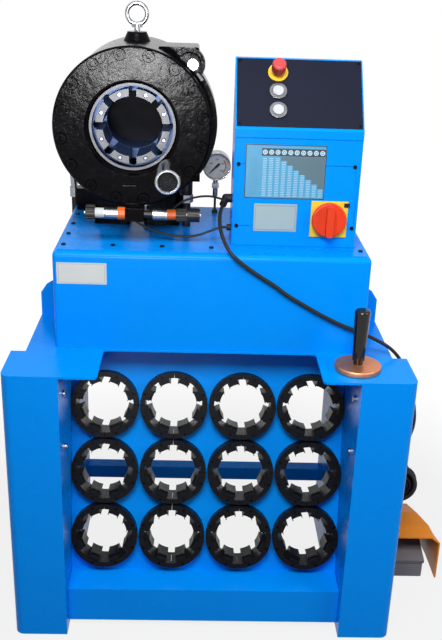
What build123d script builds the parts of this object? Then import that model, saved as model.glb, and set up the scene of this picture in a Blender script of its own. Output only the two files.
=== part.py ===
from build123d import *
import math
import os

# Hose crimping machine: stand with a die rack, hydraulic crimping head, control box and foot pedal.
# Millimetres. +X to the operator's right, -Y towards the operator, +Z up, floor at Z = 0.
# Y = 0 is the front face of the cabinet, X = 0 is the middle of the stand.

os.makedirs("parts", exist_ok=True)

# Stand
standWidth = 872
postInner = 316
postFront = -153
postDepth = 130
postCorner = 20
sideHalf = 404
standRear = 340
deckTop = 662
deckThick = 5
sheet = 4
footPlate = 6
notchHalf = 235
notchBack = -5
notchCorner = 10
wallBoltY = -91
wallBoltZ = (465, 595)
sillFront = -124
sillRear = -40
sillTop = 107
sillBottom = 19
railSize = 36
railWall = 3
railZ = 145
railSetback = 4

# Die rack
rackLean = 12.4
rackY = 18.5
rackZ = 512
dieCols = 4
dieRows = 3
diePitchX = 158.5
diePitchZ = 159
panelThick = 3
dieHole = 72.5
dieLip = 77.5
dieLipDepth = 24
dieBody = 71.5
dieBore = 52.5
dieDepth = 60
dieFootWidth = 25
dieFootRoot = 66
dieGap = 0.8
dieRingThick = 3
seatGap = 0.3

# Cabinet
cabWidth = 686
cabDepth = 395
cabTop = 883
cabSheet = 3
cabBend = 12
cabFlange = 38
lidThick = 3
lidInset = 10
screwHead = 5
screwShank = 3
screwInset = 9
screwFrontY = 45
earY = 198
earHeight = 85
earThick = 5

# Crimping head
headX = -176
headZ = 1136
headFront = 66
ringThick = 40
ringRadius = 167
ringMouth = 100
ringStep = 92
ringBore = 88
ringStepDepth = 20
bodyRadius = 165
bodyBore = 135
bodyLength = 234
rearThick = 26
rearRadius = 158
boltCircle = 151
boltCount = 16
boltHead = 11
boltSink = 12
boltShank = 6
boltLength = 44
pistonClear = 0.05
pistonLength = 140
pistonStroke = 51
jawCount = 8
jawInner = 63.5
jawOuter = 79
jawFront = 88
jawNose = 20
jawTail = 72
jawSlope = 0.35
jawGap = 16
jawTravel = pistonStroke * jawSlope
jawClear = 0.3
pinCircle = 71.3
pinHole = 5
pinRadius = 3
tubeBore = 63
tubeOuter = 67.5
tubeFlange = 86
tubeFlangeThick = 6
backDiscY = 246
backDiscThick = 8
footSpread = 58
footWidth = 60
footFront = 215
footRear = 335
padThick = 16
padLip = 12
saddleLeft = 155
saddleRight = 122
saddleDepth = 33
saddleTop = 940

# Control box
boxLeft = 40
boxRight = 312
boxFront = 59
boxRear = 175
boxFold = 1146
boxSheet = 2
consoleTilt = 52.1
consoleLength = 167
consoleInset = 3
coverTop = 1124
coverThick = 2
coverBottom = 891
stopRow = 130.7
startRow = 84.8
offRow = 39.9
buttonX = 130
buttonRadius = 11.5
bezelRadius = 18.5
switchX = 250
switchZ = 954
switchPlate = 80
knobRadius = 37.5

# Gauge, lamp, adjuster
gaugeX = 10
gaugeY = 322
gaugeZ = 1005
gaugeRadius = 34
gaugeDepth = 36
lampX = -97
lampZ = 1048
lampRadius = 26
lampLength = 105
rodY = 40
rodZ = 960
rodRadius = 5

# Pedal and change tool
pedalX = 528
pedalFront = 79
pedalLength = 171
pedalHalf = 39
pedalHeight = 38
treadleLength = 100
treadleThick = 5
treadleTilt = 16
treadleLift = 6.5
hoodHalf = 75
hoodWall = 4
toolX = 316
toolY = -84
toolDisc = 50
toolDiscThick = 13
toolHandle = 17
toolHandleLength = 124

returnRear = 418

# Cords
cordRadius = 4
leadRadius = 3
coilRing = 37
coilTube = 18

standHalf = standWidth / 2
postStep = postFront + postDepth
deckUnder = deckTop - deckThick
lidTop = cabTop + lidThick
cabHalf = cabWidth / 2
lean = math.radians(rackLean)
# The saved parts stand with the middle of their overall footprint at the origin.
middleX = (pedalX + hoodHalf - standHalf) / 2
middleY = (postFront + returnRear) / 2


# A round solid stands on its own origin, or hangs below it.
upward = (Align.CENTER, Align.CENTER, Align.MIN)
downward = (Align.CENTER, Align.CENTER, Align.MAX)


def save(name, *solids):
    flat = []
    for item in solids:
        flat += item if isinstance(item, list) else [item]
    shapes = []
    for item in flat:
        shapes += [Pos(-middleX, -middleY, 0) * one for one in item.solids()]
    export_step(shapes[0] if len(shapes) == 1 else Compound(children=shapes), "parts/" + name + ".step")


def block(x0, x1, y0, y1, z0, z1):
    return Pos((x0 + x1) / 2, (y0 + y1) / 2, (z0 + z1) / 2) * Box(x1 - x0, y1 - y0, z1 - z0)


def alongX(x0, x1, y, z, r):
    return Pos((x0 + x1) / 2, y, z) * Rot(0, 90, 0) * Cylinder(r, x1 - x0)


def alongY(x, y0, y1, z, r):
    return Pos(x, (y0 + y1) / 2, z) * Rot(90, 0, 0) * Cylinder(r, y1 - y0)


def alongZ(x, y, z0, z1, r):
    return Pos(x, y, (z0 + z1) / 2) * Cylinder(r, z1 - z0)


def hexZ(x, y, z0, z1, r):
    return Pos(x, y, z0) * extrude(RegularPolygon(r, 6), z1 - z0)


def rod(p, q, r):
    d = Vector(*q) - Vector(*p)
    return extrude(Plane(origin=p, z_dir=d) * Circle(r), d.length)


def profileYZ(points, x0, x1):
    wire = Polyline(*[(x0, y, z) for y, z in points], close=True)
    return extrude(make_face(wire), x1 - x0, dir=(1, 0, 0))


def profileXY(points, z0, z1):
    return Pos(0, 0, z0) * extrude(make_face(Polyline(*points, close=True)), z1 - z0)


def profileXZ(points, y0, y1):
    wire = Polyline(*[(x, y0, z) for x, z in points], close=True)
    return extrude(make_face(wire), y1 - y0, dir=(0, 1, 0))


def turned(points, x=headX, z=headZ):
    face = make_face(Polyline(*points, close=True))
    return Pos(x, 0, z) * revolve(face, Axis.Y, 360)


def upright(solid, x, y):
    edges = solid.edges().filter_by(Axis.Z)
    return [e for e in edges if abs(e.center().X - x) < 0.1 and abs(e.center().Y - y) < 0.1]


def cord(points, r, name):
    runs = [(Vector(*b) - Vector(*a)).length for a, b in zip(points, points[1:])]
    radii = []
    for i in range(1, len(points) - 1):
        a = Vector(*points[i]) - Vector(*points[i - 1])
        b = Vector(*points[i + 1]) - Vector(*points[i])
        turn = math.radians(a.get_angle(b))
        radii.append(0.45 * min(runs[i - 1], runs[i]) / math.tan(turn / 2))
    path = FilletPolyline(*points, radius=radii)
    section = Plane(origin=points[0], z_dir=Vector(*points[1]) - Vector(*points[0])) * Circle(r)
    tube = sweep(section, path=path)
    wanted = math.pi * r * r * path.length
    print(name, "radii", [round(v) for v in radii], "volume", round(tube.volume / wanted, 4))
    return tube


# Stand: two posts with side boxes
def columnOutline(inset):
    return [
        (postInner + inset, postFront + inset),
        (standHalf - inset, postFront + inset),
        (standHalf - inset, postStep - inset),
        (sideHalf - inset, postStep - inset),
        (sideHalf - inset, standRear - inset),
        (postInner + inset, standRear - inset),
    ]


column = profileXY(columnOutline(0), 0, deckUnder)
column = fillet(upright(column, standHalf, postFront), postCorner)
hollow = profileXY(columnOutline(sheet), footPlate, deckUnder)
hollow = fillet(upright(hollow, standHalf - sheet, postFront + sheet), postCorner - sheet)
column -= hollow
for z in wallBoltZ:
    column -= alongX(postInner - 1, postInner + sheet + 1, wallBoltY, z, 4.2)
save("columns", column, mirror(column, Plane.YZ))

standBolts = []
for z in wallBoltZ:
    bolt = alongX(postInner - 5, postInner, wallBoltY, z, 7)
    bolt += alongX(postInner, postInner + 15, wallBoltY, z, 4)
    bolt -= Pos(postInner - 5, wallBoltY, z) * Rot(0, 90, 0) * extrude(RegularPolygon(3, 6), 3)
    nut = Pos(postInner + sheet, wallBoltY, z) * Rot(0, 90, 0) * extrude(RegularPolygon(7.5, 6), 6)
    nut -= alongX(postInner + sheet - 1, postInner + sheet + 7, wallBoltY, z, 4)
    standBolts += [bolt, nut, mirror(bolt, Plane.YZ), mirror(nut, Plane.YZ)]

# Deck sheet, notched in front so that the dies can be reached.
deckPoints = [(-standHalf, postFront), (-notchHalf, postFront), (-notchHalf, notchBack)]
deckPoints += [(notchHalf, notchBack), (notchHalf, postFront), (standHalf, postFront)]
deckPoints += [(standHalf, postStep), (sideHalf, postStep)]
deckPoints += [(sideHalf, standRear), (-sideHalf, standRear), (-sideHalf, postStep), (-standHalf, postStep)]
deck = profileXY(deckPoints, deckUnder, deckTop)
for side in (-1, 1):
    deck = fillet(upright(deck, side * standHalf, postFront), postCorner)
    deck = fillet(upright(deck, side * notchHalf, postFront), notchCorner)
    deck = fillet(upright(deck, side * notchHalf, notchBack), notchCorner)

# Ears that stand on the deck and hold the cabinet's sides.
ear = [(cabHalf, deckTop), (sideHalf, deckTop), (sideHalf, deckTop + earHeight - 29)]
ear += [(sideHalf - 14, deckTop + earHeight - 8), (sideHalf - 27, deckTop + earHeight)]
ear += [(cabHalf, deckTop + earHeight)]
earSolid = profileXZ(ear, earY, earY + earThick)
save("deck", deck, earSolid, mirror(earSolid, Plane.YZ))

# Front sill: a folded channel between the posts; the rack sheet stands on its rear edge.
sill = [(sillFront, sillBottom), (sillFront, sillTop), (sillRear, sillTop), (sillRear, sillTop - sheet)]
sill += [(sillFront + sheet, sillTop - sheet), (sillFront + sheet, sillBottom + sheet)]
sill += [(sillRear, sillBottom + sheet), (sillRear, sillBottom)]

railY = standRear - railSetback - railSize
rail = block(-postInner, postInner, railY, railY + railSize, railZ, railZ + railSize)
railEnds = (-postInner, postInner)
railDepth = (railY + railWall, railY + railSize - railWall)
railHeight = (railZ + railWall, railZ + railSize - railWall)
rail -= block(*railEnds, *railDepth, *railHeight)

# Die rack
# Local frame of the rack: x to the right, y up the sheet, z out of the sheet towards the operator.
# z = 0 is the front face of the stored dies, y = 0 is the centre line of the top row.
rackPlane = Plane(
    origin=(0, rackY, rackZ), x_dir=(1, 0, 0), z_dir=(0, -math.cos(lean), math.sin(lean))
)
sheetZ = -dieLipDepth - seatGap
dieXs = [(i - (dieCols - 1) / 2) * diePitchX for i in range(dieCols)]
dieYs = [-j * diePitchZ for j in range(dieRows)]


def onRack(solid):
    return rackPlane.location * solid


under = block(-600, 600, -400, 400, sillTop - 200, sillTop)
above = block(-600, 600, -400, 400, deckUnder, deckUnder + 200)
topEdge = (deckUnder - rackZ) / math.cos(lean) + 20
bottomEdge = (sillTop - rackZ) / math.cos(lean) - 20
columnEdges = [-postInner]
for x in dieXs:
    columnEdges += [x, x + diePitchX / 2]
columnEdges[-1] = postInner
rowEdges = [bottomEdge]
for y in reversed(dieYs):
    rowEdges += [y, y + diePitchZ / 2]
rowEdges[-1] = topEdge

# The sheet is divided along the holes' centre lines, so each cell is a plain corner piece beside one hole.
cells = []
for i in range(2 * dieCols):
    for j in range(2 * dieRows):
        sides = (columnEdges[i], columnEdges[i + 1], rowEdges[j], rowEdges[j + 1])
        cell = block(*sides, sheetZ - panelThick, sheetZ)
        cell -= Pos(dieXs[i // 2], dieYs[dieRows - 1 - j // 2], sheetZ) * Cylinder(dieHole, 4 * panelThick)
        cell = onRack(cell)
        if j == 0:
            cell -= under
        if j == 2 * dieRows - 1:
            cell -= above
        cells.append(cell)
save("rack_sheet", cells)

# Side flanges that carry the rack sheet against the posts.
flangeDepth = 40
flanges = []
for side in (-1, 1):
    x0, x1 = sorted((side * postInner, side * (postInner - 3)))
    zBack = sheetZ - panelThick
    strap = onRack(block(x0, x1, bottomEdge, topEdge, zBack - flangeDepth, zBack))
    flanges.append(strap - above - under)
save("stand_rails", profileYZ(sill, -postInner, postInner), rail, flanges)

seg = 360 / jawCount


def sectorPoints(far):
    side = far * math.tan(math.radians(seg / 2))
    return [(0, 0), (far, -side), (far, side)]


# One die: a lip that stands on the sheet, a body in the hole, and a stepped foot towards the bore.

def dieSegment(angle):
    ring = Cylinder(dieLip, dieLipDepth, align=downward)
    bodyDepth = dieDepth - dieLipDepth
    body = Cylinder(dieBody, bodyDepth, align=downward)
    solid = ring + Pos(0, 0, -dieLipDepth) * body
    solid -= Cylinder(dieFootRoot, 4 * dieDepth)
    cutter = profileXY(sectorPoints(2 * dieLip), -2 * dieDepth, dieDepth)
    solid = solid & (Pos(dieGap / 2 / math.sin(math.radians(seg / 2)), 0, 0) * cutter)
    foot = block(dieBore - 8, dieFootRoot + 3, -dieFootWidth / 2, dieFootWidth / 2, -dieDepth, -2.5)
    foot -= Cylinder(dieBore, 4 * dieDepth)
    step = block(dieBore - 1, dieBore + 4, -dieFootWidth, dieFootWidth, -12, 0)
    solid = solid + (foot - step)
    solid -= Pos((dieFootRoot + dieLip) / 2, 0, 0) * Cylinder(3, 12)
    return Rot(0, 0, angle) * solid


dieSolids = [dieSegment((k + 0.5) * seg) for k in range(jawCount)]
# The keeper ring at the back, in arcs that each reach over the gap between two dies.
keeper = Cylinder(dieBody, dieRingThick, align=downward)
keeper -= Cylinder(dieFootRoot, 4 * dieRingThick)
keeper = keeper & profileXY(sectorPoints(2 * dieLip), -dieDepth, dieDepth)
dieSolids += [Pos(0, 0, -dieDepth) * Rot(0, 0, k * seg) * keeper for k in range(jawCount)]
number = 0
for y in dieYs:
    for x in dieXs:
        number += 1
        place = rackPlane.location * Pos(x, y, 0)
        save("die_set_%02d" % number, [place * s for s in dieSolids])

# Cabinet
cabFloor = deckTop
shell = block(-cabHalf, cabHalf, 0, cabDepth, cabFloor, cabTop)
alongFront = shell.edges().filter_by(Axis.X)
frontTop = [e for e in alongFront if abs(e.center().Y) < 0.1 and abs(e.center().Z - cabTop) < 0.1]
shell = fillet(frontTop, cabBend)
sideTop = [e for e in shell.edges().filter_by(Axis.Y) if abs(e.center().Z - cabTop) < 0.1]
shell = fillet(sideTop, cabBend - 4)
innerHalf = cabHalf - cabSheet
inner = block(-innerHalf, innerHalf, cabSheet, cabDepth - cabSheet, cabFloor - 1, cabTop - cabSheet)
frontTop = [e for e in inner.edges().filter_by(Axis.X) if e.center().Y < 10 and e.center().Z > cabTop - 10]
inner = fillet(frontTop, cabBend - cabSheet)
shell -= inner
mouthHalf = cabHalf - cabFlange
shell -= block(-mouthHalf, mouthHalf, cabFlange + 25, cabDepth - cabFlange, cabTop - 10, cabTop + 1)
lid = block(-cabHalf + lidInset, cabHalf - lidInset, lidInset + 2, cabDepth - 2, cabTop, lidTop)
lid = fillet(lid.edges().filter_by(Axis.Z), 4)

screwX = cabHalf - lidInset - screwInset
screwRear = cabDepth - 20
screwSpots = [(-screwX + i * 107, screwFrontY) for i in range(4)] + [(screwX, screwFrontY)]
for i in range(1, 5):
    screwSpots.append((-screwX, screwFrontY + i * (screwRear - screwFrontY) / 4))
screwSpots += [(screwX, (screwFrontY + screwRear) / 2), (screwX, screwRear)]
coverScrews = []
for x, y in screwSpots:
    lid -= alongZ(x, y, cabTop - 1, lidTop + 1, screwShank + 0.2)
    shell -= alongZ(x, y, cabTop - cabSheet - 1, cabTop + 1, screwShank + 0.2)
    screw = alongZ(x, y, lidTop, lidTop + 3, screwHead) + alongZ(x, y, lidTop - 12, lidTop, screwShank)
    coverScrews.append(screw - Pos(x, y, lidTop + 1) * extrude(RegularPolygon(2.4, 6), 3))

# Oil tank under the head: a closed sheet box that carries the lid, and the motor and pump beside it.
tankWall = 4
tankX0, tankX1 = -cabHalf + cabSheet + cabFlange, -30
tankY0, tankY1 = footFront - 40, cabDepth - cabFlange - 2
tank = block(tankX0, tankX1, tankY0, tankY1, cabFloor, cabTop)
oilX = (tankX0 + tankWall, tankX1 - tankWall)
oilY = (tankY0 + tankWall, tankY1 - tankWall)
tank -= block(*oilX, *oilY, cabFloor + tankWall, cabTop - tankWall)
motorY, motorZ, motorR = 240, cabFloor + 88, 72
motor = alongX(40, 270, motorY, motorZ, motorR)
motorFeet = block(80, 230, motorY - 60, motorY + 60, cabFloor, motorZ - motorR + 12)
motorFeet -= alongX(60, 250, motorY, motorZ, motorR)
bell = alongX(5, 40, motorY, motorZ, 50)
pump = block(tankX1, 5, motorY - 35, motorY + 35, motorZ - 35, motorZ + 35)

# Crimping head
ringBack = headFront + ringThick
stepY = headFront + ringStepDepth
ring = turned([
    (ringMouth, headFront), (ringRadius - 4, headFront), (ringRadius, headFront + 4), (ringRadius, ringBack),
    (ringBore, ringBack), (ringBore, stepY), (ringStep, stepY),
])
boltSpots = []
for k in range(boltCount):
    a = math.radians(9.3 + k * 360 / boltCount)
    boltSpots.append((headX + boltCircle * math.cos(a), headZ + boltCircle * math.sin(a)))
for x, z in boltSpots:
    ring -= alongY(x, headFront - 1, headFront + boltSink, z, boltHead + 1.5)
    ring -= alongY(x, headFront, ringBack + 1, z, boltShank + 0.5)
save("head_front_ring", ring)

headBolts = []
for x, z in boltSpots:
    seat = headFront + boltSink
    bolt = alongY(x, seat - 14, seat, z, boltHead) + alongY(x, seat, seat + boltLength, z, boltShank)
    bolt -= Pos(x, seat - 14, z) * Rot(-90, 0, 0) * extrude(RegularPolygon(6, 6), 7)
    headBolts.append(bolt)
save("head_bolts", headBolts)

snapInner, snapOuter, snapThick = ringBore - 2, ringStep - 0.4, 4
snap = [(snapInner, stepY - snapThick), (snapOuter, stepY - snapThick), (snapOuter, stepY), (snapInner, stepY)]
snap = turned(snap)

bodyRear = ringBack + bodyLength
body = alongY(headX, ringBack, bodyRear, headZ, bodyRadius)
liftY = 240
liftFoot = headZ + bodyRadius - 15
liftHeight = 32
liftTop = liftFoot + liftHeight
body += Pos(headX, liftY, liftFoot) * Cone(36, 21, liftHeight, align=upward)
portX, portY0, portY1 = -38, 150, 250
port = block(headX + 50, portX, portY0, portY1, headZ + 54, headZ + 160)
port = fillet(port.edges().filter_by(Axis.Y), 6)
body += port
bossX, bossZ = -59, 1263
body += alongY(bossX, 132, portY0 + 10, bossZ, 34) + alongY(bossX, 112, 140, bossZ, 24)
cheekRadius, cheekHalf = 180, 105
cheek = alongY(headX, 130, 200, headZ, cheekRadius)
cheek = cheek & block(headX + 118, headX + cheekRadius + 2, 100, 210, headZ - cheekHalf, headZ + cheekHalf)
body += cheek
lowX, lowZ = -31, 1000
body += block(-85, lowX, 180, 250, lowZ, lowZ + 50)
for side in (-1, 1):
    x = headX + side * footSpread
    footHalf = footWidth / 2
    padHalf = footHalf + padLip
    body += block(x - footHalf, x + footHalf, footFront, footRear, lidTop, headZ - 110)
    pad = block(x - padHalf, x + padHalf, footFront, footRear, lidTop, lidTop + padThick)
    body += fillet(pad.edges().filter_by(Axis.Z), 8)
    outer = saddleRight if side > 0 else saddleLeft
    x0, x1 = sorted((headX + side * (footSpread - footHalf), headX + side * outer))
    body += block(x0, x1, footRear - 1, footRear + saddleDepth, lidTop, saddleTop)
body -= alongY(headX, ringBack - 1, bodyRear + 1, headZ, bodyBore)
for x, z in boltSpots:
    body -= alongY(x, ringBack - 1, headFront + boltSink + boltLength + 2, z, boltShank + 0.1)
eyeNeck = 6.5
body -= alongZ(headX, liftY, liftTop - 22, liftTop + 1, eyeNeck + 0.1)
footBolts = []
for side in (-1, 1):
    for y in (footFront + 18, footRear - 18):
        for end in (-1, 1):
            x = headX + side * footSpread + end * (footWidth / 2 + padLip / 2)
            body -= alongZ(x, y, lidTop - 1, lidTop + padThick + 1, 3.2)
            lid -= alongZ(x, y, cabTop - 1, lidTop + 1, 3.2)
            bolt = alongZ(x, y, lidTop + padThick, lidTop + padThick + 6, 5)
            footBolts.append(bolt + alongZ(x, y, lidTop - lidThick, lidTop + padThick, 3))

rearPlate = alongY(headX, bodyRear, bodyRear + rearThick, headZ, rearRadius)
rearPlate -= alongY(headX, bodyRear - 1, bodyRear + rearThick + 1, headZ, tubeOuter)
save("head_housing", body, rearPlate)

jawRear = jawFront + jawNose + jawTail
tubeFront = jawRear + jawClear
tubeRear = bodyRear + rearThick
boreTube = alongY(headX, tubeFront, tubeRear, headZ, tubeOuter)
boreTube += alongY(headX, tubeFront, tubeFront + tubeFlangeThick, headZ, tubeFlange)
boreTube -= alongY(headX, tubeFront - 1, tubeRear + 1, headZ, tubeBore)
backStop = alongY(headX, backDiscY, backDiscY + backDiscThick, headZ, tubeBore)
save("bore_tube", boreTube, backStop, snap)

# Piston: a sleeve with an eight-sided tapered bore, wide end to the rear; it draws back to close the jaws.
pistonFront = ringBack + 2
pistonRear = pistonFront + pistonLength
boreFrontY = jawFront + jawNose


def flatAt(y):
    return jawOuter + jawClear / math.cos(math.atan(jawSlope)) + jawSlope * (y - boreFrontY)


def octagonLoft(y0, y1):
    faces = []
    for y in (y0, y1):
        plane = Plane(origin=(headX, y, headZ), x_dir=(1, 0, 0), z_dir=(0, 1, 0))
        octagon = RegularPolygon(flatAt(y), jawCount, major_radius=False, rotation=0)
        faces.append(plane * octagon)
    return loft(faces, ruled=True)


taperRear = jawRear + 2
piston = alongY(headX, pistonFront, pistonRear, headZ, bodyBore - pistonClear)
piston -= octagonLoft(pistonFront - 2, taperRear)
piston -= alongY(headX, taperRear, pistonRear + 1, headZ, flatAt(taperRear))
save("piston", piston)


def jawSolid(angle):
    shift = jawGap / 2 / math.sin(math.radians(seg / 2))
    # local frame: x radial, y across, z from the nose (0) to the tail
    nose = Cylinder(jawOuter, jawNose, align=upward)
    tailEnd = jawNose + jawTail
    outerTail = jawOuter + jawSlope * jawTail
    side = [(20, 0, jawNose), (jawOuter, 0, jawNose), (outerTail, 0, tailEnd), (20, 0, tailEnd)]
    wedgeFace = make_face(Polyline(*side, close=True))
    tail = Pos(0, -60, 0) * extrude(wedgeFace, 120, dir=(0, 1, 0))
    solid = nose + tail
    solid = solid & (Pos(shift, 0, 0) * profileXY(sectorPoints(200), -1, tailEnd + 1))
    solid -= Pos(0, 0, -1) * Cylinder(jawInner, tailEnd + 2, align=upward)
    solid -= Pos(pinCircle, 0, 0) * Cylinder(pinHole, 6)
    solid += Pos(pinCircle, 0, 1.5) * Cylinder(pinRadius, 4)
    frame = Plane(origin=(headX, jawFront, headZ), x_dir=(1, 0, 0), z_dir=(0, 1, 0))
    return frame.location * (Rot(0, 0, angle) * solid)


for k in range(jawCount):
    save("jaw_" + str(k + 1), jawSolid(-(k + 0.5) * seg))

# Lifting eye
eyeZ = liftTop + 37
eyeMajor, eyeMinor = 21.75, 4.75
eye = Pos(headX, liftY, eyeZ) * Rot(90, 0, 0) * Torus(eyeMajor, eyeMinor)
eye += alongZ(headX, liftY, liftTop + 9, liftTop + 16, 12)
eye += alongZ(headX, liftY, liftTop - 20, liftTop + 10, eyeNeck)
save("eye_bolt", eye)

# Hydraulic fittings: plugs on the port block, the supply stub and the return elbow at the rear left.
supplyX, supplyY = -60, 215
fillCap = alongY(bossX + 8, 104, 112, bossZ + 2, 11.5)
bleedAngle = math.radians(-50)
bleedPoints = [(bossX + r * math.cos(bleedAngle), 122, bossZ + r * math.sin(bleedAngle)) for r in (24.2, 42)]
bleed = rod(*bleedPoints, 5)
supplyNut = hexZ(supplyX, supplyY, 944, 962, 15)
elbowTop = (headX - 118, bodyRear + rearThick, headZ - 76)
elbowKnee = (-347, 404, 958)
elbowFoot = (-345, 404, 927)
elbowR = 9
nutLength = 24
rearBoss = alongY(elbowTop[0], elbowTop[1], elbowTop[1] + 22, elbowTop[2], 13)
elbowArm = rod((elbowTop[0], elbowTop[1] + 10, elbowTop[2]), elbowKnee, elbowR)
elbowArm += Pos(*elbowKnee) * Sphere(elbowR)
elbowArm += rod(elbowKnee, elbowFoot, elbowR)
hoseTop = elbowFoot[2] - nutLength
elbowNut = alongZ(elbowFoot[0], elbowFoot[1], hoseTop, elbowFoot[2] + 1, 12)
returnFitting = rearBoss + elbowArm + elbowNut
supplyTop = alongZ(supplyX, supplyY, 962, lowZ, 13)
supplyHose = alongZ(supplyX, supplyY, lidTop, 944, 9)
returnHose = alongZ(elbowFoot[0], elbowFoot[1], 800, hoseTop, 8)
returnPort = block(elbowFoot[0] - 9, elbowFoot[0] + 19, cabDepth, returnRear, 768, 800)

save("cabinet_shell", shell)

# Work lamp on the front ring
lampFace = headFront - lampLength
lampTube = alongY(lampX, lampFace, headFront, lampZ, lampRadius)
lampTube = chamfer(lampTube.edges().group_by(Axis.Y)[0], 2)
lampTube -= alongY(lampX, lampFace - 1, lampFace + 30, lampZ, lampRadius - 6)
lampTube -= alongY(lampX, lampFace - 1, lampFace + 4, lampZ, lampRadius - 4.5)
lens = alongY(lampX, lampFace + 1.5, lampFace + 4, lampZ, lampRadius - 4.5)
emitter = alongY(lampX, lampFace + 22, lampFace + 30, lampZ, 12)
save("work_lamp", lampTube, emitter)

# Opening adjuster under the head
rodX0, rodX1 = -276, -28
bracketX0, bracketX1 = -189, -149
neckX0, neckX1 = -197, -165
bracket = block(neckX0, neckX1, headFront - 5, headFront, rodZ - 12, headZ - ringMouth - 20)
bracket += block(bracketX0, bracketX1, rodY - 15, headFront, rodZ - 14, rodZ + 15)
bracket -= alongX(bracketX0 - 1, bracketX1 + 1, rodY, rodZ, rodRadius + 0.05)
save("adjuster_bracket", bracket)
spindle = alongX(rodX0, rodX1, rodY, rodZ, rodRadius)


def onRod(x0, x1, r, bore=rodRadius):
    return alongX(x0, x1, rodY, rodZ, r) - alongX(x0 - 1, x1 + 1, rodY, rodZ, bore)


sensorLeft = onRod(-234, -205, 12.5)
sensorRight = onRod(-130, -100, 12.5)
for i in range(5):
    sensorLeft -= onRod(-232 + i * 5.5, -230 + i * 5.5, 14, 11.3)
    sensorRight -= onRod(-128 + i * 5.5, -126 + i * 5.5, 14, 11.3)
sleeveLeft = onRod(-253, -234, 11)
collarRight = onRod(-149, -130, 8)
capLeftX, capRightX = -197, -90
capGland = 17
capLeft = onRod(-205, -189, 13.5)
capLeft += alongY(capLeftX, rodY + 10, rodY + capGland, rodZ, 4.5)
capRight = onRod(-100, -81, 11)
capRight += alongY(capRightX, rodY + 8, rodY + capGland, rodZ, 4.5)
endCap = onRod(-57, -30, 15)
save("adjuster_rod", spindle, sleeveLeft, collarRight, endCap, sensorLeft, sensorRight, capLeft, capRight)


def ribbedKnob(x0, x1, r, bore):
    knob = alongX(x0, x1, rodY, rodZ, r)
    for k in range(16):
        a = 2 * math.pi * k / 16
        knob -= alongX(x0 - 1, x1 + 1, rodY + r * math.cos(a), rodZ + r * math.sin(a), 1.6)
    return knob - alongX(x0 - 1, x1 + 1, rodY, rodZ, bore)


save("open_knob", ribbedKnob(-272.5, -253.5, 16.5, rodRadius + 0.05))
save("close_knob", ribbedKnob(-80.5, -58, 13, rodRadius + 0.05))

# Control box on the lid
tilt = math.radians(consoleTilt)
consoleTopY = boxFront + consoleLength * math.cos(tilt)
consoleTopZ = boxFold + consoleLength * math.sin(tilt)


def boxProfile(inset):
    c = inset * math.tan((math.pi / 2 - tilt) / 2)
    d = inset * math.tan(tilt / 2)
    return [
        (boxFront + inset, lidTop + inset), (boxFront + inset, boxFold - c),
        (consoleTopY + d, consoleTopZ - inset), (boxRear - inset, consoleTopZ - inset),
        (boxRear - inset, lidTop + inset),
    ]


box = profileYZ(boxProfile(0), boxLeft, boxRight)
box -= profileYZ(boxProfile(boxSheet), boxLeft + boxSheet, boxRight - boxSheet)
coverInset = 2
doorX = (boxLeft + 14, boxRight - 14)
box -= block(*doorX, boxFront - 1, boxFront + boxSheet + 1, coverBottom + 12, coverTop - 12)
# A doubled strip under the fold, as thick as the cover, so that the cover's top edge shows as a groove.
coverFace = boxFront - coverThick
stripFoot = coverTop + 2
stripTop = boxFold - coverThick * math.tan(tilt)
strip = [(coverFace, stripFoot), (boxFront, stripFoot), (boxFront, boxFold), (coverFace, stripTop)]
box += profileYZ(strip, boxLeft, boxRight)
console = Plane(origin=(0, boxFront, boxFold), x_dir=(1, 0, 0), z_dir=(0, -math.sin(tilt), math.cos(tilt)))


def onConsole(solid):
    return console.location * solid


plateTop = 2
stemR = 8
estopSpot, startSpot, offSpot = [(buttonX, v) for v in (stopRow, startRow, offRow)]
plateX = (boxLeft + consoleInset, boxRight - consoleInset)
plate = block(*plateX, consoleInset, consoleLength - consoleInset, 0, plateTop)
for x, v in (estopSpot, startSpot, offSpot):
    plate -= Pos(x, v, 0) * Cylinder(11, 20)
    box -= onConsole(Pos(x, v, 0) * Cylinder(11, 20))
bezelFloor = 0.8
bezels = []
for x, v, r, h in ((*estopSpot, 21.5, 3), (*startSpot, bezelRadius, 6), (*offSpot, bezelRadius, 6)):
    bezel = Pos(x, v, plateTop) * Cylinder(r, h, align=upward)
    bezel += Pos(x, v, -14) * Cylinder(10.8, 14 + plateTop, align=upward)
    bore = stemR + 0.4 if r > bezelRadius + 1 else buttonRadius + 0.4
    boreFoot = plateTop + bezelFloor if r < 21 else -20
    bezel -= Pos(x, v, boreFoot) * Cylinder(bore, 60, align=upward)
    if r < 21:
        bezel -= Pos(x, v, 0) * Cylinder(6.4, 60)
    bezels.append(onConsole(bezel))
save("console_panel", onConsole(plate), bezels[1], bezels[2])
x, v = estopSpot
stem = Pos(x, v, -12) * Cylinder(stemR, 12 + plateTop + 14, align=upward)
cap = Pos(x, v, plateTop + 14) * Cylinder(15, 24, align=upward)
cap = fillet(cap.edges().group_by(Axis.Z)[-1], 6)
skirt = Pos(x, v, plateTop + 9) * Cone(11, 15, 5, align=upward)
save("stop_button", onConsole(stem + cap + skirt))
buttonTravel = 2.5
for name, (x, v) in (("start_button", startSpot), ("release_button", offSpot)):
    faceFoot = plateTop + bezelFloor + seatGap + buttonTravel
    face = Pos(x, v, faceFoot) * Cylinder(buttonRadius, 4.6, align=upward)
    face = fillet(face.edges().group_by(Axis.Z)[-1], 1)
    face += Pos(x, v, -12) * Cylinder(6, 12 + plateTop + 1 + buttonTravel, align=upward)
    save(name, onConsole(face))

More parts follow.
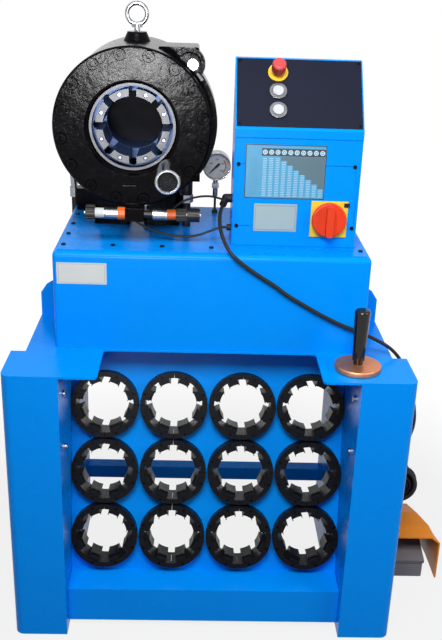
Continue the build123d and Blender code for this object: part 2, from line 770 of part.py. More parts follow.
cover = block(boxLeft + coverInset, boxRight - coverInset, coverFace, boxFront, coverBottom, coverTop)
cover -= alongY(switchX, coverFace - 1, boxFront + 1, switchZ, 9)
coverScrewSpots = [(boxLeft + 10, 1070), (boxRight - 14, 1070), (boxLeft + 10, 935), (boxRight - 10, 935)]
for x, z in coverScrewSpots:
    cover -= alongY(x, coverFace - 1, boxFront + 1, z, 2.7)
    box -= alongY(x, boxFront - 1, boxFront + boxSheet + 1, z, 2.7)
boxScrews = []
for x, z in coverScrewSpots:
    screw = alongY(x, coverFace - 2.5, coverFace, z, 4) + alongY(x, coverFace, coverFace + 10, z, 2.5)
    boxScrews.append(screw - Pos(x, coverFace - 2.5, z) * Rot(-90, 0, 0) * extrude(RegularPolygon(2, 6), 1.6))
plateScrewInset = 9
for x in (boxLeft + plateScrewInset, boxRight - plateScrewInset):
    for v in (plateScrewInset, consoleLength - plateScrewInset):
        boxScrews.append(onConsole(Pos(x, v, plateTop) * Cylinder(3, 1.6, align=upward)))

plateDepth = 1
chart = block(64, 236, coverFace - plateDepth, coverFace, 997, 1113)
label = block(87, 180, coverFace - plateDepth, coverFace, 924, 985)
half = switchPlate / 2
switchBase = block(switchX - half, switchX + half, coverFace - 3, coverFace, switchZ - half, switchZ + half)
switchBase -= alongY(switchX, coverFace - 4, coverFace + 1, switchZ, 6.05)
switchCase = block(switchX - 28, switchX + 28, boxFront + 4, boxFront + 60, switchZ - 28, switchZ + 28)
switchNeck = alongY(switchX, boxFront, boxFront + 10, switchZ, 8.8)
switchCase += switchNeck - alongY(switchX, boxFront - 1, boxFront + 4, switchZ, 7)
switchCase += alongY(switchX, coverFace, boxFront + 4, switchZ, 8.8)
switchCase -= alongY(switchX, coverFace - 1, boxFront + 30, switchZ, 6.05)
lockTab = block(switchX + 31, switchX + 43, coverFace - 6, coverFace - 3, switchZ + 29, switchZ + 37)
save("yellow_plates", switchBase, bezels[0])
knobBack = coverFace - 3 - seatGap
knob = alongY(switchX, knobBack - 12, knobBack, switchZ, knobRadius)
knob = fillet(knob.edges().group_by(Axis.Y)[0], 3)
gripZ = (switchZ - knobRadius + 5, switchZ + knobRadius - 3)
grip = block(switchX - 8, switchX + 8, knobBack - 30, knobBack - 10, *gripZ)
grip = fillet(grip.edges().filter_by(Axis.Y), 6)
knob += grip + alongY(switchX, knobBack, boxFront + 26, switchZ, 6)
save("switch_knob", knob)
save("box_body", box)
save("box_cover", cover, chart, label, lockTab)

gear = [block(70, 285, boxRear - 6, boxRear - boxSheet, 930, 1120)]
gear.append(block(90, 135, boxRear - 76, boxRear - 6, 1020, 1100))
gear.append(block(140, 185, boxRear - 76, boxRear - 6, 1020, 1100))
gear.append(block(200, 270, boxRear - 86, boxRear - 6, 1000, 1090))
gear.append(block(90, 270, boxRear - 30, boxRear - 6, 945, 975))
save("inner_equipment", tank, motor, motorFeet, bell, pump, gear, switchCase)
save("small_screws", standBolts, coverScrews, footBolts, boxScrews)

# Pressure gauge
faceY = gaugeY
case = alongY(gaugeX, faceY, faceY + gaugeDepth, gaugeZ, gaugeRadius)
case -= alongY(gaugeX, faceY - 1, faceY + 9, gaugeZ, gaugeRadius - 3)
case = fillet(case.edges().group_by(Axis.Y)[0], 1.2)
dial = alongY(gaugeX, faceY + 8, faceY + 9, gaugeZ, gaugeRadius - 3)
dial -= alongY(gaugeX, faceY + 7, faceY + 10, gaugeZ, 1.25)
save("gauge_case", case, dial)
hub = alongY(gaugeX, faceY + 4.4, faceY + 6.6, gaugeZ, 3.2)
hub += alongY(gaugeX, faceY + 5, faceY + 8.9, gaugeZ, 1.2)
pointer = [(-3, -9), (3, -9), (0.9, 24), (-0.9, 24)]
blade = extrude(Plane.XZ * make_face(Polyline(*pointer, close=True)), 1.2)
blade = Pos(0, faceY + 6.4, 0) * blade
blade = Pos(gaugeX, 0, gaugeZ) * Rot(0, -135, 0) * blade
save("gauge_needle", hub + blade)
save("lenses", lens, alongY(gaugeX, faceY + 1, faceY + 3, gaugeZ, gaugeRadius - 3))
stemY = faceY + gaugeDepth / 2
stem = alongZ(gaugeX - 2, stemY, gaugeZ - 76, gaugeZ - gaugeRadius - 3, 6.5)
stemNeck = alongZ(gaugeX - 2, stemY, gaugeZ - 50, gaugeZ - 33, 5)
stem += stemNeck - alongY(gaugeX, faceY - 1, faceY + gaugeDepth + 1, gaugeZ, gaugeRadius)
stem += hexZ(gaugeX - 2, stemY, gaugeZ - 56, gaugeZ - 44, 9)
save("head_fittings", fillCap, bleed, supplyNut, returnFitting, stem)
gaugePipe = alongZ(gaugeX - 2, stemY, lidTop + 8, gaugeZ - 76, 3)
gaugePort = alongZ(gaugeX - 2, stemY, lidTop, lidTop + 8, 7)

save("cabinet_lid", lid)

# Foot pedal
pedalRear = pedalFront + pedalLength
base = block(pedalX - pedalHalf, pedalX + pedalHalf, pedalFront, pedalRear, 0, pedalHeight)
base = fillet(base.edges().filter_by(Axis.Z), 6)
hingeY, hingeZ, pinR = pedalFront + 16, pedalHeight + 5.5, 3
barrelR = 5
lugWidth = 7
lugs = []
for side in (-1, 1):
    x0, x1 = sorted((pedalX + side * (pedalHalf - lugWidth), pedalX + side * pedalHalf))
    lug = block(x0, x1, hingeY - barrelR, hingeY + barrelR, pedalHeight - 1, hingeZ)
    lugs.append(lug + alongX(x0, x1, hingeY, hingeZ, barrelR))
base += lugs[0] + lugs[1]
base -= alongX(pedalX - 60, pedalX + 60, hingeY, hingeZ, pinR)
plunger = alongZ(pedalX, pedalFront + 100, pedalHeight, pedalHeight + 16, 9)
hingePin = alongX(pedalX - pedalHalf, pedalX + pedalHalf, hingeY, hingeZ, pinR)
save("pedal_base", base + plunger, hingePin)

# Treadle: a plate over the hinge lugs, with a folded front edge, ribs, and a barrel between the lugs.
barrelHalf = pedalHalf - lugWidth - 0.6
treadleHalf = pedalHalf + 2
treadleTop = treadleLift + treadleThick
tread = block(-treadleHalf, treadleHalf, -16, treadleLength, treadleLift, treadleTop)
tread += block(-treadleHalf, treadleHalf, -16, -13, 1, treadleLift + 1)
tread += block(-barrelHalf, barrelHalf, -barrelR, barrelR, 0, treadleLift + 1)
tread += alongX(-barrelHalf, barrelHalf, 0, 0, barrelR)
ribHalf = treadleHalf - 6
for y in (16, 32, 48, 64, 80):
    tread += block(-ribHalf, ribHalf, y, y + 5, treadleTop - 0.5, treadleTop + 1)
tread -= alongX(-60, 60, 0, 0, pinR + 0.05)
save("pedal_treadle", Pos(pedalX, hingeY, hingeZ) * Rot(treadleTilt, 0, 0) * tread)

# Guard: a hood with sloped shoulders that narrows and drops towards the rear. Each station is its
# place along Y, its half width at the floor, then half width and height of shoulder and of roof.
stations = [
    (74, hoodHalf, hoodHalf, 106, 54, 123),
    (118, hoodHalf, 70, 100, 52, 130),
    (175, hoodHalf, 62, 80, 34, 130),
    (254, hoodHalf - 6, 54, 66, 26, 106),
]


def hoodSection(station, wall, y):
    halfBase, halfMid, zMid, halfTop, zTop = station[1:]
    half = [halfBase - wall, halfMid - wall, halfTop - wall / 2]
    heights = [-1 if wall else 0, zMid - wall / 2, zTop - wall]
    right = list(zip(half, heights))
    left = [(-x, z) for x, z in reversed(right)]
    return make_face(Polyline(*[(pedalX + x, y, z) for x, z in right + left], close=True))


def hoodLoft(wall, places):
    sections = [hoodSection(station, wall, y) for station, y in zip(stations, places)]
    parts = [loft([a, b], ruled=True) for a, b in zip(sections, sections[1:])]
    return parts[0] + parts[1] + parts[2]


outerPlaces = [station[0] for station in stations]
innerPlaces = [outerPlaces[0] - 0.5] + outerPlaces[1:-1] + [outerPlaces[-1] - hoodWall]
hoodSolid = hoodLoft(0, outerPlaces)
hood = hoodSolid - hoodLoft(hoodWall, innerPlaces)
save("pedal_guard", hood)

# Change tool standing on the right of the deck
toolBottom = deckTop + seatGap
disc = alongZ(toolX, toolY, toolBottom, toolBottom + toolDiscThick, toolDisc)
disc = fillet(disc.edges().filter_by(GeomType.CIRCLE), 3)
for k in range(jawCount):
    a = math.radians((k + 0.5) * seg)
    disc -= alongZ(toolX + 36 * math.cos(a), toolY + 36 * math.sin(a), toolBottom - 1, toolBottom + 8, 4)
handleBase = toolBottom + toolDiscThick
handle = Pos(toolX, toolY, handleBase + 10) * Cone(
    toolHandle - 4, toolHandle, toolHandleLength - 10, align=upward
)
handle = fillet(handle.edges().group_by(Axis.Z)[-1], 6)
handle += alongZ(toolX, toolY, handleBase, handleBase + 11, 10)
save("change_tool", disc, handle)

# Cords
elbowBend = (boxLeft - 13, 104, 984)
exitDir = Vector(-0.3, -0.8, -0.52).normalized()
exitLength = 22
cordStart = Vector(*elbowBend) + exitDir * exitLength
gland = alongX(elbowBend[0], boxLeft, elbowBend[1], elbowBend[2], 9) + Pos(*elbowBend) * Sphere(9)
gland += rod(elbowBend, tuple(cordStart), 8)
leadGlandY, leadGlandZ = 122, 976
lowGlandY, lowGlandZ = 87, 922
glandLength = 10
glands = [gland]
for y, z in ((leadGlandY, leadGlandZ), (lowGlandY, lowGlandZ)):
    glands.append(alongX(boxLeft - glandLength, boxLeft, y, z, 7))

# Pedal cord: leaves the box, drapes over the cabinet's face and the edge of the deck, and ends in its coil.
coilX, coilY, coilZ = 512, 215, 194.3
firstBend = cordStart + exitDir * 20
pedalCord = [
    tuple(cordStart), tuple(firstBend), (13, 48, 946), (16, 28, 928), (25, 8, 908), (40, -9, 888),
    (67, -9, 866), (102, -7, 841), (134, -7, 822), (162, -7, 800), (195, -7, 781),
    (240, -7, 755), (291, -7, 730), (332, -8, 716), (368, -10, 700), (400, -10, 682), (426, -9, 654),
    (446, -4, 616), (462, 3, 574), (474, 11, 532), (483, 24, 492), (489, 48, 452), (493, 80, 414),
    (497, 116, 376), (502, 152, 338), (507, 184, 300), (511, 207, 268),
    (coilX, coilY, coilZ + coilRing + coilTube - 6),
]
save("pedal_cord", cord(pedalCord, cordRadius, "pedal_cord"))
coil = Pos(coilX, coilY, coilZ) * Rot(90, 0, 0) * Torus(coilRing, coilTube)
save("cord_coil", coil)
glandY = coilY - 29
coilFoot = coilZ - coilRing
pedalGland = alongZ(coilX, glandY, pedalHeight, coilFoot + 6, 8) - hoodSolid
pedalGland += alongY(coilX, glandY, coilY - coilTube + 4, coilFoot, 6)
hoses = [supplyTop, supplyHose, returnHose, returnPort, gaugePipe, gaugePort]
save("hoses_and_glands", hoses, glands, pedalGland)

# Sensor leads, held between the adjuster and the control box.
upperLead = [
    (capRightX, rodY + capGland, rodZ), (capRightX, 72, rodZ), (-84, 88, 966), (-66, 100, 976),
    (-40, 107, 983), (-12, 113, 985), (8, 120, 980),
    (boxLeft - glandLength - 12, leadGlandY, leadGlandZ), (boxLeft - glandLength, leadGlandY, leadGlandZ),
]
save("sensor_lead_1", cord(upperLead, leadRadius - 0.5, "sensor_lead_1"))
lowerLead = [
    (capLeftX, rodY + capGland, rodZ), (capLeftX, 72, rodZ), (-193, 86, 952), (-178, 92, 934),
    (-152, 91, 917), (-116, 87, 905), (-76, 82, 899), (-38, 80, 901), (-4, 84, 914),
    (boxLeft - glandLength - 12, lowGlandY, lowGlandZ), (boxLeft - glandLength, lowGlandY, lowGlandZ),
]
save("sensor_lead_2", cord(lowerLead, leadRadius - 0.5, "sensor_lead_2"))
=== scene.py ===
import math

import bmesh
import bpy
import numpy as np
from mathutils import Matrix, Vector


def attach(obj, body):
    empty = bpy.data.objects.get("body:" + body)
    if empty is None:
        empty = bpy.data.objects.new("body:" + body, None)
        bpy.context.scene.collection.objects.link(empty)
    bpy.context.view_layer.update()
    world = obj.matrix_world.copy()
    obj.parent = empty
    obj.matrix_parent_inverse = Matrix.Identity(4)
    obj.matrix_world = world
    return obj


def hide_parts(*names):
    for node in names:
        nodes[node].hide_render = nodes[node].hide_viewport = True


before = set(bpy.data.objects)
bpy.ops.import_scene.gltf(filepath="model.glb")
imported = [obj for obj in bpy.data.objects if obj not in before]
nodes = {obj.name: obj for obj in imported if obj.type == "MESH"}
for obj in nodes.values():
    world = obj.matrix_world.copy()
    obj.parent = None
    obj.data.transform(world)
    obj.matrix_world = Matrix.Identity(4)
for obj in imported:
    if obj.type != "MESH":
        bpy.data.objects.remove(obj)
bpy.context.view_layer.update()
print("frame loaded:", len(nodes), "nodes")


# Drawing places are in millimetres: X from the stand's middle, Y from the cabinet's face, Z from the
# floor. at() turns one into metres in the part's own frame.
drawing = {"middleX": 83.5, "middleY": 132.5}


def at(x, y, z):
    return Vector(((x - drawing["middleX"]) / 1000, (y - drawing["middleY"]) / 1000, z / 1000))


# A node's output that sums and compares like a number.
class Wire:
    def __init__(self, paint, socket):
        self.paint = paint
        self.socket = socket

    def sum(self, operation, other, turned=False):
        first, second = (other, self) if turned else (self, other)
        return self.paint.node("ShaderNodeMath", {"operation": operation}, {0: first, 1: second})

    def __add__(self, other):
        return self.sum("ADD", other)

    def __radd__(self, other):
        return self.sum("ADD", other, True)

    def __sub__(self, other):
        return self.sum("SUBTRACT", other)

    def __rsub__(self, other):
        return self.sum("SUBTRACT", other, True)

    def __mul__(self, other):
        return self.sum("MULTIPLY", other)

    def __rmul__(self, other):
        return self.sum("MULTIPLY", other, True)

    def __truediv__(self, other):
        return self.sum("DIVIDE", other)

    def __pow__(self, other):
        return self.sum("POWER", other)

    def __gt__(self, other):
        return self.sum("GREATER_THAN", other)

    def __lt__(self, other):
        return self.sum("LESS_THAN", other)


class Paint:
    def __init__(self, tree):
        self.tree = tree

    def node(self, kind, settings=None, inputs=None, out=0):
        made = self.tree.nodes.new(kind)
        for name, value in (settings or {}).items():
            if name == "stops":
                ramp = made.color_ramp
                while len(ramp.elements) > 1:
                    ramp.elements.remove(ramp.elements[-1])
                for i, (place, colour) in enumerate(value):
                    stop = ramp.elements[0] if i == 0 else ramp.elements.new(place)
                    stop.position = place
                    stop.color = (*colour, 1) if len(colour) == 3 else colour
            else:
                setattr(made, name, value)
        for name, value in (inputs or {}).items():
            self.feed(made.inputs[name], value)
        return Wire(self, made.outputs[out])

    def feed(self, socket, value):
        if isinstance(value, Wire):
            self.tree.links.new(value.socket, socket)
        elif hasattr(value, "__len__") and len(value) == 3 and socket.type == "RGBA":
            socket.default_value = (*value, 1)
        else:
            socket.default_value = value

    def place(self):
        return self.node("ShaderNodeTexCoord", out=3)

    def parts(self, vector):
        made = self.node("ShaderNodeSeparateXYZ", inputs={0: vector})
        outputs = made.socket.node.outputs
        return [Wire(self, outputs[i]) for i in range(3)]

    def noise(self, scale, detail=3.0, rough=0.55, vector=None):
        where = vector or self.place()
        inputs = {"Vector": where, "Scale": scale, "Detail": detail, "Roughness": rough}
        return self.node("ShaderNodeTexNoise", {}, inputs)

    def stretch(self, scale):
        return self.node("ShaderNodeMapping", {}, {"Vector": self.place(), "Scale": scale})

    def ramp(self, factor, *stops):
        return self.node("ShaderNodeValToRGB", {"stops": stops}, {0: factor})

    def blend(self, factor, first, second):
        made = self.node("ShaderNodeMix", {"data_type": "RGBA"}, {0: factor, 6: first, 7: second}, out=2)
        return made

    def bump(self, height, strength, distance, under=None):
        inputs = {"Height": height, "Strength": strength, "Distance": distance}
        if under is not None:
            inputs["Normal"] = under
        return self.node("ShaderNodeBump", {}, inputs)


def finish(name, recipe):
    material = bpy.data.materials.new(name)
    material.use_nodes = True
    tree = material.node_tree
    tree.nodes.clear()
    output = tree.nodes.new("ShaderNodeOutputMaterial")
    shader = tree.nodes.new("ShaderNodeBsdfPrincipled")
    tree.links.new(shader.outputs[0], output.inputs[0])
    paint = Paint(tree)
    for socket, value in recipe(paint).items():
        paint.feed(shader.inputs[socket], value)
    return material


bluePowder = {
    "colour": (0.0, 0.285, 0.95), "deep": (0.0, 0.262, 0.89), "dust": (0.05, 0.40, 0.92),
    "rough": 0.27, "peel": 0.00010,
}


def bluePowderCoat(paint):
    drift = paint.noise(3.2, 3)
    haze = paint.noise(28, 5, 0.6)
    peel = paint.noise(420, 2, 0.5)
    dust = paint.ramp(paint.noise(150, 6, 0.7), (0.72, (0, 0, 0)), (0.82, (1, 1, 1)))
    colour = paint.blend(drift, bluePowder["deep"], bluePowder["colour"])
    colour = paint.blend(dust * 0.12, colour, bluePowder["dust"])
    return {
        "Base Color": colour,
        "Roughness": bluePowder["rough"] + (haze - 0.5) * 0.16,
        "Specular IOR Level": 0.06,
        "Normal": paint.bump(peel, 0.35, bluePowder["peel"]),
    }


def blackGlossPaint(paint):
    runs = paint.noise(26, 6, 0.62)
    cast = paint.noise(95, 4, 0.55)
    scuff = paint.ramp(paint.noise(46, 8, 0.72), (0.56, (0, 0, 0)), (0.66, (1, 1, 1)))
    normal = paint.bump(cast, 0.32, 0.0006)
    return {
        "Base Color": paint.blend(scuff * 0.35, (0.0022, 0.0020, 0.0030), (0.018, 0.018, 0.021)),
        "Roughness": 0.09 + runs * 0.12 + scuff * 0.06,
        "Specular IOR Level": 0.05,
        "Normal": paint.bump(runs, 0.30, 0.0030, normal),
    }


def blackOxide(paint):
    mottle = paint.noise(60, 6, 0.65)
    worn = paint.ramp(paint.noise(130, 8, 0.7), (0.60, (0, 0, 0)), (0.72, (1, 1, 1)))
    return {
        "Base Color": paint.blend(worn * 0.5, (0.004, 0.0045, 0.007), (0.05, 0.05, 0.055)),
        "Metallic": 0.12,
        "Specular IOR Level": 0.08,
        "Roughness": 0.24 + mottle * 0.24,
        "Normal": paint.bump(mottle, 0.25, 0.0003),
    }


def groundSteel(paint):
    lines = paint.noise(1.0, 4, 0.6, paint.stretch((900, 120, 900)))
    stain = paint.noise(55, 5, 0.6)
    return {
        "Base Color": paint.blend(stain, (0.040, 0.041, 0.047), (0.12, 0.122, 0.13)),
        "Metallic": 0.7,
        "Specular IOR Level": 0.2,
        "Roughness": 0.30 + lines * 0.2,
        "Normal": paint.bump(lines, 0.25, 0.0001),
    }


# Bore steel with a navy blue tint: the blue is painted blue light on the steel, and the noise varies its tone
# at random.
def boreSteelWithPaintedBlueLight(paint):
    lines = paint.noise(1.0, 3, 0.6, paint.stretch((40, 700, 40)))
    stain = paint.noise(18, 4, 0.6)
    return {
        "Base Color": paint.blend(stain, (0.020, 0.032, 0.075), (0.032, 0.065, 0.16)),
        "Metallic": 0.4,
        "Specular IOR Level": 0.2,
        "Roughness": 0.24 + lines * 0.16,
        "Normal": paint.bump(lines, 0.15, 0.0001),
    }


def darkDisc(paint):
    stain = paint.noise(30, 4, 0.6)
    return {
        "Base Color": paint.blend(stain, (0.008, 0.009, 0.015), (0.015, 0.016, 0.027)),
        "Roughness": 0.40 + stain * 0.15,
        "Specular IOR Level": 0.04,
        "Normal": paint.bump(stain, 0.2, 0.0004),
    }


def brightSteel(paint):
    smear = paint.noise(70, 5, 0.6)
    lines = paint.noise(1.0, 3, 0.6, paint.stretch((260, 260, 30)))
    return {
        "Base Color": paint.blend(smear, (0.15, 0.155, 0.165), (0.42, 0.43, 0.45)),
        "Metallic": 1.0,
        "Roughness": 0.14 + smear * 0.14,
        "Normal": paint.bump(lines, 0.12, 0.00008),
    }


def slatePanel(paint):
    grain = paint.noise(900, 3, 0.6)
    drift = paint.noise(7, 3)
    return {
        "Base Color": paint.blend(drift, (0.008, 0.010, 0.022), (0.012, 0.015, 0.031)),
        "Roughness": 0.42 + grain * 0.14,
        "Specular IOR Level": 0.08,
        "Normal": paint.bump(grain, 0.25, 0.00006),
    }


def mouldedPlastic(colour, deep, rough=0.3, grain=0.00005, gloss=0.22):
    def recipe(paint):
        drift = paint.noise(40, 4, 0.6)
        fine = paint.noise(700, 2, 0.5)
        return {
            "Base Color": paint.blend(drift, deep, colour),
            "Roughness": rough + (drift - 0.5) * 0.14,
            "Specular IOR Level": gloss,
            "Normal": paint.bump(fine, 0.3, grain),
        }
    return recipe


def rubberSkin(colour, deep, rough=0.45):
    def recipe(paint):
        drift = paint.noise(60, 4, 0.6)
        fine = paint.noise(1100, 3, 0.6)
        return {
            "Base Color": paint.blend(drift, deep, colour),
            "Roughness": rough + fine * 0.14,
            "Specular IOR Level": 0.18,
            "Normal": paint.bump(fine, 0.35, 0.00008),
        }
    return recipe


def enamel(colour, deep, rough=0.33):
    def recipe(paint):
        drift = paint.noise(9, 4, 0.6)
        chips = paint.ramp(paint.noise(120, 8, 0.75), (0.68, (0, 0, 0)), (0.74, (1, 1, 1)))
        peel = paint.noise(380, 2, 0.5)
        tone = paint.blend(drift, deep, colour)
        return {
            "Base Color": paint.blend(chips * 0.35, tone, tuple(0.35 * c for c in deep)),
            "Roughness": rough + drift * 0.12,
            "Specular IOR Level": 0.15,
            "Normal": paint.bump(peel, 0.35, 0.0001),
        }
    return recipe


def copperAnodised(paint):
    x, y, z = paint.parts(paint.place())
    centre = at(316, -84, 0)
    away = ((x - centre.x) ** 2.0 + (y - centre.y) ** 2.0) ** 0.5
    turning = paint.node("ShaderNodeMath", {"operation": "SINE"}, {0: away * 7000})
    stain = paint.noise(45, 5, 0.6)
    return {
        "Base Color": paint.blend(stain, (0.60, 0.20, 0.085), (0.86, 0.36, 0.17)),
        "Metallic": 0.85,
        "Roughness": 0.30 + stain * 0.14,
        "Normal": paint.bump(turning, 0.06, 0.0001),
    }


def clearGlass(paint):
    smear = paint.noise(60, 5, 0.6)
    return {
        "Base Color": (0.12, 0.13, 0.14),
        "Specular IOR Level": 0.2,
        "Roughness": 0.03 + smear * 0.05,
        "Alpha": 0.03 + smear * 0.04,
    }


gaugeFace = {"colour": (0.96, 0.95, 0.90), "warm": (0.90, 0.86, 0.74)}


def dialPaper(paint):
    drift = paint.noise(60, 3)
    return {
        "Base Color": paint.blend(drift, gaugeFace["warm"], gaugeFace["colour"]),
        "Roughness": 0.42 + drift * 0.08,
    }


# The setting chart: a cyan sheet with a dark border, a row of round heads, columns of small marks
# and a stepped grey field.
chartSheet = {
    "left": 64, "right": 236, "bottom": 997, "top": 1113,
    "cyan": (0.038, 0.26, 0.46), "pale": (0.058, 0.33, 0.56), "border": (0.006, 0.014, 0.03),
    "grey": (0.065, 0.13, 0.17),
    "headLeft": 0.20, "headRight": 0.985, "headTop": 0.93, "headBottom": 0.79, "columns": 10, "rows": 24,
}


def chartPrint(paint):
    s = chartSheet
    x, y, z = paint.parts(paint.place())
    low, high = at(s["left"], 0, s["bottom"]), at(s["right"], 0, s["top"])
    u = (x - low.x) / (high.x - low.x)
    v = (z - low.z) / (high.z - low.z)
    fract = lambda value: paint.node("ShaderNodeMath", {"operation": "FRACT"}, {0: value})
    floor = lambda value: paint.node("ShaderNodeMath", {"operation": "FLOOR"}, {0: value})
    column = (u - s["headLeft"]) * (s["columns"] / (s["headRight"] - s["headLeft"]))
    inTable = (u > s["headLeft"]) * (u < s["headRight"])
    # round heads
    columnWidth = (s["headRight"] - s["headLeft"]) / s["columns"] * (high.x - low.x) * 1000
    across = (fract(column) - 0.5) * columnWidth
    up = (v - (s["headTop"] + s["headBottom"]) / 2) * ((high.z - low.z) * 1000)
    ring = (across * across + up * up) ** 0.5
    band = inTable * (v > s["headBottom"]) * (v < s["headTop"])
    disc = band * (ring < 5.2)
    core = band * (ring < 3.2) * (ring > 1.6)
    # rows of marks: short dashes
    row = v * (s["rows"] / s["headBottom"])
    dash = (fract(row) > 0.35) * (fract(row) < 0.75)
    dash = dash * (fract(column * 5) > 0.25) * (fract(column) > 0.18) * (fract(column) < 0.80)
    inRows = (v > 0.03) * (v < s["headBottom"] - 0.02)
    marks = inTable * inRows * dash
    leftColumn = (u > 0.05) * (u < 0.15) * (v > 0.05) * (v < 0.76)
    leftMarks = leftColumn * (fract(row) > 0.35) * (fract(row) < 0.7) * (fract(u * 60) > 0.3)
    # stepped field, lower from left to right
    step = floor(column)
    stepTop = 0.79 - (step - 2.0) * 0.085
    field = inTable * (step > 2.5) * (v < s["headBottom"] - 0.005) * (v > stepTop) * (u < 0.99)
    aboveFoot = v > 0.03
    colour = paint.blend(paint.noise(40, 3), s["cyan"], s["pale"])
    colour = paint.blend(band, colour, s["border"])
    colour = paint.blend(disc, colour, (0.45, 0.66, 0.78))
    colour = paint.blend(core, colour, (0.10, 0.22, 0.32))
    colour = paint.blend(marks * 0.55, colour, (0.72, 0.86, 0.92))
    colour = paint.blend(leftMarks * 0.65, colour, (0.05, 0.16, 0.28))
    colour = paint.blend(field * aboveFoot, colour, s["grey"])
    edge = 1 - (u > 0.012) * (u < 0.988) * (v > 0.017) * (v < 0.983)
    colour = paint.blend(edge, colour, s["border"])
    return {"Base Color": colour, "Roughness": 0.34 + paint.noise(120, 3) * 0.08}


labelSheet = {"left": 87, "right": 180, "bottom": 924, "top": 985}
stickerSheet = {"left": -334, "right": -227, "bottom": 812, "top": 860, "front": -0.35, "back": -0.02}


def blankLabel(sheet, paper, ink):
    low, high = at(sheet["left"], 0, sheet["bottom"]), at(sheet["right"], 0, sheet["top"])

    def recipe(paint):
        x, y, z = paint.parts(paint.place())
        u = (x - low.x) / (high.x - low.x)
        v = (z - low.z) / (high.z - low.z)
        inside = (u > 0.045) * (u < 0.955) * (v > 0.08) * (v < 0.92)
        frameLine = (1 - inside) * ((u > 0.03) * (u < 0.97) * (v > 0.05) * (v < 0.95))
        tone = paint.blend(paint.noise(50, 4), paper, tuple(0.92 * c for c in paper))
        return {
            "Base Color": paint.blend(frameLine * 0.5, tone, ink),
            "Roughness": 0.36 + paint.noise(90, 3) * 0.1,
        }
    return recipe


finishes = {
    "blue": finish("bluePowderCoat", bluePowderCoat),
    "headBlack": finish("blackGlossPaint", blackGlossPaint),
    "oxide": finish("blackOxideSteel", blackOxide),
    "jaw": finish("groundJawSteel", groundSteel),
    "bore": finish("boreSteelPaintedBlueLight", boreSteelWithPaintedBlueLight),
    "disc": finish("darkBackDisc", darkDisc),
    "bright": finish("brightSteel", brightSteel),
    "slate": finish("slatePanel", slatePanel),
    "yellow": finish("yellowPlastic", mouldedPlastic((0.86, 0.60, 0.05), (0.76, 0.51, 0.04))),
    "red": finish("redCapPlastic", mouldedPlastic((0.64, 0.085, 0.085), (0.52, 0.055, 0.058), 0.34)),
    "orangeRed": finish(
        "switchRedPlastic", mouldedPlastic((0.80, 0.055, 0.012), (0.68, 0.038, 0.010), 0.30),
    ),
    "buttonGrey": finish("buttonGreyPlastic", mouldedPlastic((0.58, 0.61, 0.66), (0.47, 0.50, 0.55), 0.28)),
    "black": finish(
        "blackPlastic", mouldedPlastic((0.012, 0.012, 0.014), (0.006, 0.006, 0.007), 0.30, gloss=0.18),
    ),
    "glossBlack": finish(
        "glossBlackGrip", mouldedPlastic((0.006, 0.006, 0.007), (0.004, 0.004, 0.005), 0.12, 0.00002, 0.35),
    ),
    "white": finish("whiteSleeve", mouldedPlastic((0.62, 0.63, 0.63), (0.50, 0.51, 0.52), 0.34)),
    "orange": finish("orangeCap", mouldedPlastic((0.85, 0.16, 0.02), (0.72, 0.11, 0.014), 0.32)),
    "blueScrew": finish("blueScrewCap", mouldedPlastic((0.02, 0.10, 0.55), (0.012, 0.07, 0.40), 0.3)),
    "rubber": finish("hoseRubber", rubberSkin((0.016, 0.016, 0.018), (0.009, 0.009, 0.010))),
    "cord": finish("cordRubber", rubberSkin((0.018, 0.018, 0.020), (0.010, 0.010, 0.012), 0.36)),
    "guard": finish("orangeEnamel", enamel((0.90, 0.29, 0.030), (0.78, 0.235, 0.020))),
    "pedal": finish("greyEnamel", enamel((0.22, 0.205, 0.215), (0.17, 0.160, 0.168), 0.4)),
    "pedalBase": finish("darkGreyEnamel", enamel((0.22, 0.21, 0.24), (0.17, 0.16, 0.18), 0.45)),
    "copper": finish("copperAnodised", copperAnodised),
    "glass": finish("clearGlass", clearGlass),
    "paper": finish("dialPaper", dialPaper),
    "ink": finish("dialInk", mouldedPlastic((0.012, 0.012, 0.014), (0.008, 0.008, 0.010), 0.5)),
    "band": finish("dialBand", mouldedPlastic((0.62, 0.13, 0.03), (0.52, 0.10, 0.02), 0.5)),
    "chart": finish("chartPrint", chartPrint),
    "label": finish("labelPrint", blankLabel(labelSheet, (0.31, 0.42, 0.455), (0.09, 0.13, 0.16))),
    "sticker": finish("stickerPrint", blankLabel(stickerSheet, (0.60, 0.62, 0.60), (0.26, 0.27, 0.28))),
    "machineGrey": finish("machineGrey", enamel((0.20, 0.21, 0.22), (0.15, 0.16, 0.17), 0.42)),
}
print("finishes:", len(finishes))


# Every polygon's middle, in drawing millimetres, to choose a finish by place.
def polygonPlaces(obj):
    count = len(obj.data.polygons)
    centres = np.zeros(count * 3)
    obj.data.polygons.foreach_get("center", centres)
    centres = centres.reshape(-1, 3) * 1000
    return centres[:, 0] + drawing["middleX"], centres[:, 1] + drawing["middleY"], centres[:, 2]


def soften(obj, width, segments=2):
    mesh = obj.data
    mesh.polygons.foreach_set("use_smooth", [True] * len(mesh.polygons))
    if "custom_normal" in mesh.attributes:
        mesh.attributes.remove(mesh.attributes["custom_normal"])
    weld = obj.modifiers.new("weld", "WELD")
    weld.merge_threshold = 0.00001
    bevel = obj.modifiers.new("edges", "BEVEL")
    bevel.width = width
    bevel.segments = segments
    bevel.limit_method = "ANGLE"
    bevel.angle_limit = math.radians(32)
    bevel.use_clamp_overlap = True
    bevel.harden_normals = True
    mesh.update()


def dress(name, *rules, width=0.0):
    obj = nodes[name]
    obj.data.materials.clear()
    obj.data.materials.append(finishes[rules[0]])
    index = np.zeros(len(obj.data.polygons), dtype=np.int32)
    if len(rules) > 1:
        x, y, z = polygonPlaces(obj)
        for slotIndex, (key, test) in enumerate(rules[1:], 1):
            obj.data.materials.append(finishes[key])
            index[test(x, y, z)] = slotIndex
    obj.data.polygons.foreach_set("material_index", index)
    if width:
        soften(obj, width)


def offRod(y, z):
    return np.hypot(y - 40, z - 960) > 5.2


